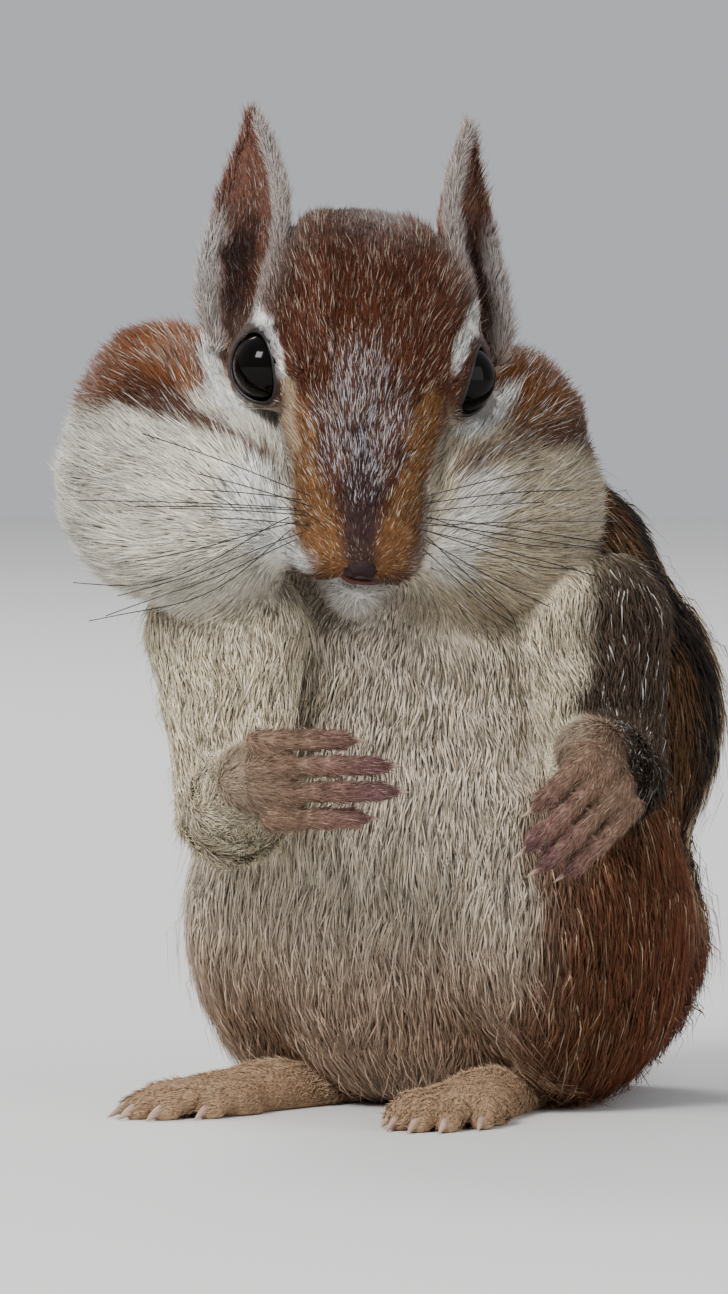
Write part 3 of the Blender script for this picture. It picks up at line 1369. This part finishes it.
def markings(points):
    shares = zoneShares(points)
    total = np.zeros(points.shape)
    for number, zone in enumerate(zones):
        share = shares[:, number]
        used = share > 0.01
        if used.any():
            total[used] += share[used, None] * zonePaint(zone["name"], zone["kind"], points[used])
    face = sum(shares[:, zoneOf[name]] for name in ("head", "jaw", "cheek_right", "cheek_left"))
    for stroke in strokes:
        total = mixed(total, paints[stroke["paint"]], strokeShare(points, stroke) * ease(0.2, 0.6, face))
    for side in sides:
        beyond, reach = lidAngle(side, points)
        rim = ease(*lidRim["edge"], beyond) * (reach < pose["eyeRadius"] + lidRim["reach"])
        total = mixed(total, paints["dark"], rim * lidRim["share"])
    return total


skinShade = 0.8  # the skin under the hair is a little darker than the coat
stoodFor = [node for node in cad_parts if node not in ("nose", "eye_right", "eye_left")]
skin = addPiece("skin", skinPoints, skinQuads, "skinHide", "russet_fur", stoodFor)
paint(skin, "markings", markings(skinPoints) * skinShade)
print("skin painted")


# the coat
coatPlan = {"triangles": 1440000, "pieceTriangles": 190000, "bendBack": 0.55, "jitter": 0.15, "clump": 0.28,
            "sink": 0.1, "patch": 0.003, "lowest": 0.1,
            "guard": {"share": 0.035, "coat": (3.2, 7), "eyeGap": 6, "length": 1.5, "lift": 2, "width": 0.55}}
# shares of hairs that are tinted with another paint
flecks = {"head": [(0.12, "frost"), (0.3, "dark")], "cheek": [(0.11, "armEdge"), (0.1, "white")],
          "jaw": [(0.08, "white")], "neck": [(0.12, "dark"), (0.1, "pale")],
          "trunk": [(0.08, "stripe"), (0.08, "pale")], "thigh": [(0.08, "stripe"), (0.06, "pale")],
          "arm": [(0.1, "armEdge"), (0.03, "white")], "forearm": [(0.06, "armEdge"), (0.1, "white")],
          "hand": [(0.1, "armEdge"), (0.15, "pale")], "foot": [(0.08, "armEdge"), (0.16, "pale")],
          "tail": [(0.12, "frost"), (0.2, "tailBelow")], "ear": [(0.1, "earEdge"), (0.15, "dark")]}

# a short straight tuft has four points and a long bent one five: a narrow root, a ridged middle and a tip
tuftShapes = {
    4: {"faces": [(0, 2, 1), (0, 1, 3), (1, 2, 3), (2, 0, 3)],
        "patch": [(0.1, 0), (0.9, 0), (0.5, 0.15), (0.5, 1)], "shade": [0.62, 0.62, 0.68, 1.14],
        "ridge": 0.9},
    5: {"faces": [(0, 2, 1), (0, 3, 2), (0, 1, 3), (1, 2, 4), (2, 3, 4), (3, 1, 4)],
        "patch": [(0.5, 0), (0.1, 0.4), (0.9, 0.4), (0.5, 0.45), (0.5, 1)],
        "shade": [0.5, 0.9, 0.9, 0.96, 1.14], "ridge": 0.8, "bendAt": 0.42},
}


def trianglesPerTuft(zone):
    return zone["points"] * 2 - 4


def scatter():
    # roots spread over the skin by each zone's own density
    triangles = np.vstack([skinQuads[:, [0, 1, 2]], skinQuads[:, [0, 2, 3]]])
    a, b, c = (skinPoints[triangles[:, k]] for k in range(3))
    area = np.linalg.norm(np.cross(b - a, c - a), axis=1) / 2
    shares = zoneShares(skinPoints)
    weight = area * (shares @ np.array([zone["density"] for zone in zones]))[triangles].mean(axis=1)
    cost = (shares @ np.array([trianglesPerTuft(zone) for zone in zones]))[triangles].mean(axis=1)
    thin = min(1.0, coatPlan["triangles"] / (weight * cost).sum())
    count = int(weight.sum() * thin)
    print("tufts wanted", round(weight.sum()), "used", count)
    walked = np.cumsum(weight)
    picks = np.searchsorted(walked, (np.arange(count) + chance.random(count)) / count * walked[-1])
    picks = np.minimum(picks, len(triangles) - 1)
    r1, r2 = np.sqrt(chance.random(count)), chance.random(count)
    mix = np.stack([1 - r1, r1 * (1 - r2), r1 * r2], axis=1)
    roots = np.einsum("nk,nkd->nd", mix, skinPoints[triangles[picks]])
    normals = unit(np.einsum("nk,nkd->nd", mix, skinNormals[triangles[picks]]))
    return roots, normals


# where no hair grows: mm off the floor, nose pad, eyes and mouth, and radians off the lids' edge
bare = {"floor": 0.5, "nose": -0.5, "eye": 2.2, "lid": 0.1, "mouth": 0.55}


def keepRoots(roots):
    kept = (roots[:, 2] > bare["floor"]) & (nosePad()(roots) > bare["nose"])
    for side in sides:
        beyond, reach = lidAngle(side, roots)
        kept &= (reach > pose["eyeRadius"] + bare["eye"]) | (beyond > bare["lid"])
    gaps = np.min(np.linalg.norm(roots[:, None, :] - mouthLine[None], axis=2), axis=1)
    return kept & (gaps > bare["mouth"])


def comb(roots, normals, shares):
    flow = np.zeros(roots.shape)
    for number, zone in enumerate(zones):
        used = shares[:, number] > 0.01
        if used.any():
            flow[used] += shares[used, number, None] * unit(zone["way"](roots[used]))
    flow = flow - (flow * normals).sum(axis=1, keepdims=True) * normals
    flow = unit(flow)
    across = np.cross(normals, flow)
    sway = coatPlan["clump"] * ripple(roots, "comb") + coatPlan["jitter"] * chance.normal(size=len(roots))
    return unit(flow + across * sway[:, None])


# hair is smaller near nose and eyes: its share there, the mm over which that grows by 1, and the least share
growth = {"nose": [20, -9, 0], "noseLength": (0.36, 26, 0.36), "noseWidth": (0.7, 50, 0.7),
          "eyeLength": (0.3, 6, 0.45), "eyeLift": (0.4, 6, 0.4), "aside": (3.5, 6.5), "above": (3, 6),
          "behind": (6, 0), "rim": (0.75, 0.95), "raisedLength": 0.5, "raisedLift": 1.2, "lengthVaries": 0.2,
          "widthVaries": 0.25, "sizeRange": (0.5, 1.6), "liftWaves": 0.35, "liftVaries": 0.3,
          "liftRange": (0.2, 2.2)}


def raisedHair(roots, shares):
    # the crown's hair stands up beside the ears, and the ears' rims are fringed
    q = within(head, roots)
    beside = ease(*growth["aside"], np.abs(q[:, 2])) * ease(*growth["above"], q[:, 1])
    raised = beside * ease(*growth["behind"], q[:, 0]) * shares[:, zoneOf["head"]]
    for side in sides:
        turn, wrap = earPlace(side, roots)[2:4]
        rim = ease(*growth["rim"], np.abs(turn) / wrap) * shares[:, zoneOf["ear_" + side["name"]]]
        raised = np.maximum(raised, rim)
    return raised


def tuftSizes(roots, shares):
    def spread(key):
        return shares @ np.array([zone[key] for zone in zones], float)

    def varied(amount):
        return np.clip(chance.normal(1, amount, len(roots)), *growth["sizeRange"])

    def near(distance, start, reach, least):
        return np.clip(start + distance / reach, least, 1)

    usual, lift = spread("length"), spread("lift")
    fromNose = np.linalg.norm(roots - place(head, growth["nose"]), axis=1)
    length = usual * near(fromNose, *growth["noseLength"])
    width = spread("width") * near(fromNose, *growth["noseWidth"])
    raised = raisedHair(roots, shares)
    length = length * (1 + growth["raisedLength"] * raised)
    lift = lift * (1 + growth["raisedLift"] * raised)
    fromEyes = np.min([np.linalg.norm(roots - eyeCentre(side), axis=1) for side in sides], axis=0)
    gap = fromEyes - pose["eyeRadius"]
    length = length * near(gap, *growth["eyeLength"]) * varied(growth["lengthVaries"])
    waves, draws = growth["liftWaves"] * ripple(roots, "lift"), chance.normal(size=len(roots))
    lift = lift * near(gap, *growth["eyeLift"])
    lift = lift * np.clip(1 + waves + growth["liftVaries"] * draws, *growth["liftRange"])
    width = width * varied(growth["widthVaries"])
    # a few long thin hairs stand out of the coat on neck, trunk, arms and thighs
    guard = coatPlan["guard"]
    shortest, longest = guard["coat"]
    grown = (usual > shortest) & (usual < longest) & (gap > guard["eyeGap"])
    guarded = (chance.random(len(roots)) < guard["share"]) & grown
    factors = {key: np.where(guarded, guard[key], 1) for key in ("length", "lift", "width")}
    return length * factors["length"], np.radians(lift * factors["lift"]), width * factors["width"]


tints = {"fleck": 0.6, "darkest": 0.06, "least": 0.3, "silver": 0.4, "silverShare": 0.65, "varies": 0.2,
         "waves": 0.1, "range": (0.5, 1.5)}


def hairTone(roots, kinds):
    tone = markings(roots)
    draw = chance.random(len(roots))
    for number, zone in enumerate(zones):
        mine = kinds == number
        below = 0.0
        for part, name in flecks[zone["kind"]]:
            hit = mine & (draw >= below) & (draw < below + part)
            bright = tone[hit].mean(axis=1)
            share = tints["fleck"] * np.clip(bright / tints["darkest"], tints["least"], 1)
            tone[hit] = mixed(tone[hit], paints[name], share)
            below += part
    # silver tips where the bridge of the snout is grizzled
    bridge = strokeShare(roots, strokes[0]) * (kinds == zoneOf["head"])
    silver = chance.random(len(roots)) < tints["silver"] * bridge
    tone[silver] = mixed(tone[silver], paints["silver"], np.full(silver.sum(), tints["silverShare"]))
    draws = tints["varies"] * chance.normal(size=len(roots))
    level = np.clip(1 + draws + tints["waves"] * ripple(roots, "tone"), *tints["range"])
    return tone * level[:, None]


def leant(flow, normals, lift):
    return flow * np.cos(lift)[:, None] + normals * np.sin(lift)[:, None]


def shortTufts(root, normals, flow, length, lift, half):
    across = np.cross(normals, flow) * half
    ridge = root + normals * half * tuftShapes[4]["ridge"]
    return np.stack([root - across, root + across, ridge, root + leant(flow, normals, lift) * length], axis=1)


def bentTufts(root, normals, flow, length, lift, half):
    across = np.cross(normals, flow) * half
    bendAt, ridge = tuftShapes[5]["bendAt"], tuftShapes[5]["ridge"]
    middle = root + leant(flow, normals, lift) * bendAt * length
    tip = middle + leant(flow, normals, lift * (1 - 2 * coatPlan["bendBack"])) * (1 - bendAt) * length
    return np.stack([root, middle - across, middle + across, middle + normals * half * ridge, tip], axis=1)


def unwrapped(roots, normals, low, high):
    # six charts of the skin's own shape, by the way that it faces, side by side
    axis = np.argmax(np.abs(normals), axis=1)
    sign = (np.take_along_axis(normals, axis[:, None], 1)[:, 0] > 0).astype(int)
    flat = (roots - low) / (high - low)
    u = np.where(axis == 0, flat[:, 1], flat[:, 0])
    v = np.where(axis == 2, flat[:, 1], flat[:, 2])
    return np.stack([(axis + 0.01 + u * 0.97) / 3, (sign + 0.01 + v * 0.97) / 2], axis=1)


def addCoatPiece(name, slot, points, tones, roots, normals):
    count, corners = points.shape[:2]
    shape = tuftShapes[corners]
    pattern = np.array(shape["faces"])
    faces = (pattern[None] + corners * np.arange(count)[:, None, None]).reshape(-1, 3)
    piece = addPiece(name, points.reshape(-1, 3), faces, "coatHair", slot)
    shade = tones[:, None, :] * np.array(shape["shade"])[None, :, None]
    paint(piece, "hairColour", shade.reshape(-1, 3))
    patch = unwrapped(roots, normals, roots.min(axis=0), roots.max(axis=0) + 0.1)
    layer = piece.data.uv_layers.new(name="OFBake")
    places = patch[:, None, :] + np.array(shape["patch"])[pattern.ravel()][None] * coatPlan["patch"]
    layer.data.foreach_set("uv", places.astype(np.float32).ravel())
    return len(faces)


def growCoat():
    roots, normals = scatter()
    kept = keepRoots(roots)
    roots, normals = roots[kept], normals[kept]
    shares = zoneShares(roots)
    flow = comb(roots, normals, shares)
    length, lift, width = tuftSizes(roots, shares)
    kinds = np.argmax(shares, axis=1)
    tones = hairTone(roots, kinds)
    total = 0
    for number, zone in enumerate(zones):
        mine = np.flatnonzero(kinds == number)
        order = mine[np.argsort(roots[mine, 2])]
        parts = max(1, math.ceil(len(order) * trianglesPerTuft(zone) / coatPlan["pieceTriangles"]))
        grow = shortTufts if zone["points"] == 4 else bentTufts
        for n, chosen in enumerate(np.array_split(order, parts)):
            label = "coat_" + zone["name"] + ("_%d" % (n + 1) if parts > 1 else "")
            root = roots[chosen] - normals[chosen] * coatPlan["sink"]
            points = grow(root, normals[chosen], flow[chosen], length[chosen, None], lift[chosen],
                          width[chosen, None] / 2)
            points[:, 1:, 2] = np.maximum(points[:, 1:, 2], coatPlan["lowest"])
            total += addCoatPiece(label, zone["slot"], points, tones[chosen], roots[chosen], normals[chosen])
    print("coat of", total, "triangles")


growCoat()


# whiskers, drawn along paths by Geometry Nodes, in mm and the head's axes
whiskers = {"rows": 4, "each": 3, "length": (12, 25), "radius": 0.062, "sides": 5, "steps": 16, "droop": 3.0,
            "clear": 1.7, "clearSteps": 5, "rounds": 7, "lifted": 0.6, "root": [16.6, -3.6, 7.4],
            "step": [-1.6, -1.5], "rootJitter": 0.3, "way": [0.25, 0.5, 0.9], "fan": [0.4, 0.34],
            "wayJitter": 0.09, "bend": [-0.3, -0.4, 0.0], "sag": [0, 0, -0.3], "bends": (0.5, 1.6),
            "thin": 0.8, "lowest": 0.3}


def whiskerTree():
    tree = bpy.data.node_groups.new("hairAlongPath", "GeometryNodeTree")
    tree.interface.new_socket("Geometry", in_out="INPUT", socket_type="NodeSocketGeometry")
    radius = tree.interface.new_socket("Hair radius", in_out="INPUT", socket_type="NodeSocketFloat")
    material = tree.interface.new_socket("Hair material", in_out="INPUT", socket_type="NodeSocketMaterial")
    tree.interface.new_socket("Geometry", in_out="OUTPUT", socket_type="NodeSocketGeometry")
    given, wanted = tree.nodes.new("NodeGroupInput").outputs, tree.nodes.new("NodeGroupOutput").inputs
    kinds = ("MeshToCurve", "InputNamedAttribute", "SetCurveRadius", "CurvePrimitiveCircle", "CurveToMesh",
             "RealizeInstances", "SetMaterial")
    nodes = [tree.nodes.new("GeometryNode" + kind) for kind in kinds]
    toCurve, thin, setRadius, ring, sweep, realize, dress = nodes
    thin.data_type = "FLOAT"
    thin.inputs["Name"].default_value = "thin"
    ring.inputs["Resolution"].default_value = whiskers["sides"]
    sweep.inputs["Fill Caps"].default_value = True
    join(tree, given["Geometry"], toCurve.inputs[0])
    join(tree, toCurve.outputs[0], setRadius.inputs["Curve"])
    join(tree, thin.outputs["Attribute"], setRadius.inputs["Radius"])
    join(tree, given["Hair radius"], ring.inputs["Radius"])
    join(tree, setRadius.outputs[0], sweep.inputs["Curve"])
    join(tree, ring.outputs[0], sweep.inputs["Profile Curve"])
    join(tree, sweep.outputs[0], realize.inputs[0])
    join(tree, realize.outputs[0], dress.inputs["Geometry"])
    join(tree, given["Hair material"], dress.inputs["Material"])
    join(tree, dress.outputs[0], wanted["Geometry"])
    return tree, radius.identifier, material.identifier


hairTree = whiskerTree()


def hairsFromPaths(name, paths, radius, material):
    count, steps = paths.shape[:2]
    mesh = bpy.data.meshes.new(name)
    starts = np.arange(count)[:, None] * steps + np.arange(steps - 1)[None]
    edges = np.stack([starts, starts + 1], axis=2).reshape(-1, 2)
    mesh.from_pydata((paths.reshape(-1, 3) * mm).tolist(), edges.tolist(), [])
    thin = mesh.attributes.new("thin", "FLOAT", "POINT")
    shares = 1 - whiskers["thin"] * np.linspace(0, 1, steps) ** 1.5
    thin.data.foreach_set("value", np.tile(shares, count).astype(np.float32))
    rough = bpy.data.objects.new(name + "Paths", mesh)
    scene.collection.objects.link(rough)
    tree, radiusKey, materialKey = hairTree
    modifier = rough.modifiers.new("hair", "NODES")
    modifier.node_group = tree
    modifier[radiusKey] = radius * mm
    modifier[materialKey] = material
    bpy.context.view_layer.update()
    made = bpy.data.meshes.new_from_object(rough.evaluated_get(bpy.context.evaluated_depsgraph_get()))
    bpy.data.objects.remove(rough)
    piece = bpy.data.objects.new(name, made)
    scene.collection.objects.link(piece)
    settle(piece)


def clearOfCoat(path, clearance):
    # lifts a whisker's path off the cheek that it passes over, and keeps it smooth
    for _ in range(whiskers["rounds"]):
        for i in range(1, len(path)):
            near, normal = bodyTree.find_nearest(Vector(path[i]))[:2]
            wanted = clearance * min(1, i / whiskers["clearSteps"])
            rise = (Vector(path[i]) - near).dot(normal)
            path[i] = path[i] + np.array(normal) * max(0, wanted - rise) * whiskers["lifted"]
        for _ in range(3):
            path[1:-1] = (path[:-2] + path[1:-1] + path[2:]) / 3
            path[-1] = 2 * path[-2] - path[-3]
    return path


def whiskerPath(side, row, n):
    ahead, up, out = whiskers["root"]
    nextAhead, nextUp = whiskers["step"]
    jitter = chance.normal() * whiskers["rootJitter"]
    spot = place(head, [ahead + nextAhead * n + jitter, up + nextUp * row, out * side["s"]])
    root = np.array(bodyTree.find_nearest(Vector(spot))[0])
    length = chance.uniform(*whiskers["length"])
    ahead, up, out = whiskers["way"]
    fanBack, fanDown = whiskers["fan"]
    way = np.array([ahead - fanBack * n / whiskers["each"], up - fanDown * row, out * side["s"]])
    way = head[:3, :3] @ unit(way + chance.normal(size=3) * whiskers["wayJitter"])
    bend = head[:3, :3] @ np.array(whiskers["bend"]) + whiskers["sag"]
    t = np.linspace(0, 1, whiskers["steps"])[:, None]
    path = root + way * length * t + bend * t ** 2 * whiskers["droop"] * chance.uniform(*whiskers["bends"])
    path[:, 2] = np.maximum(path[:, 2], whiskers["lowest"])
    return clearOfCoat(path, whiskers["clear"])


def addWhiskers(side):
    paths = [whiskerPath(side, row, n) for row in range(whiskers["rows"]) for n in range(whiskers["each"])]
    material = materials["whiskerHair"]
    hairsFromPaths("whiskers_" + side["name"], np.array(paths), whiskers["radius"], material)


for side in sides:
    addWhiskers(side)
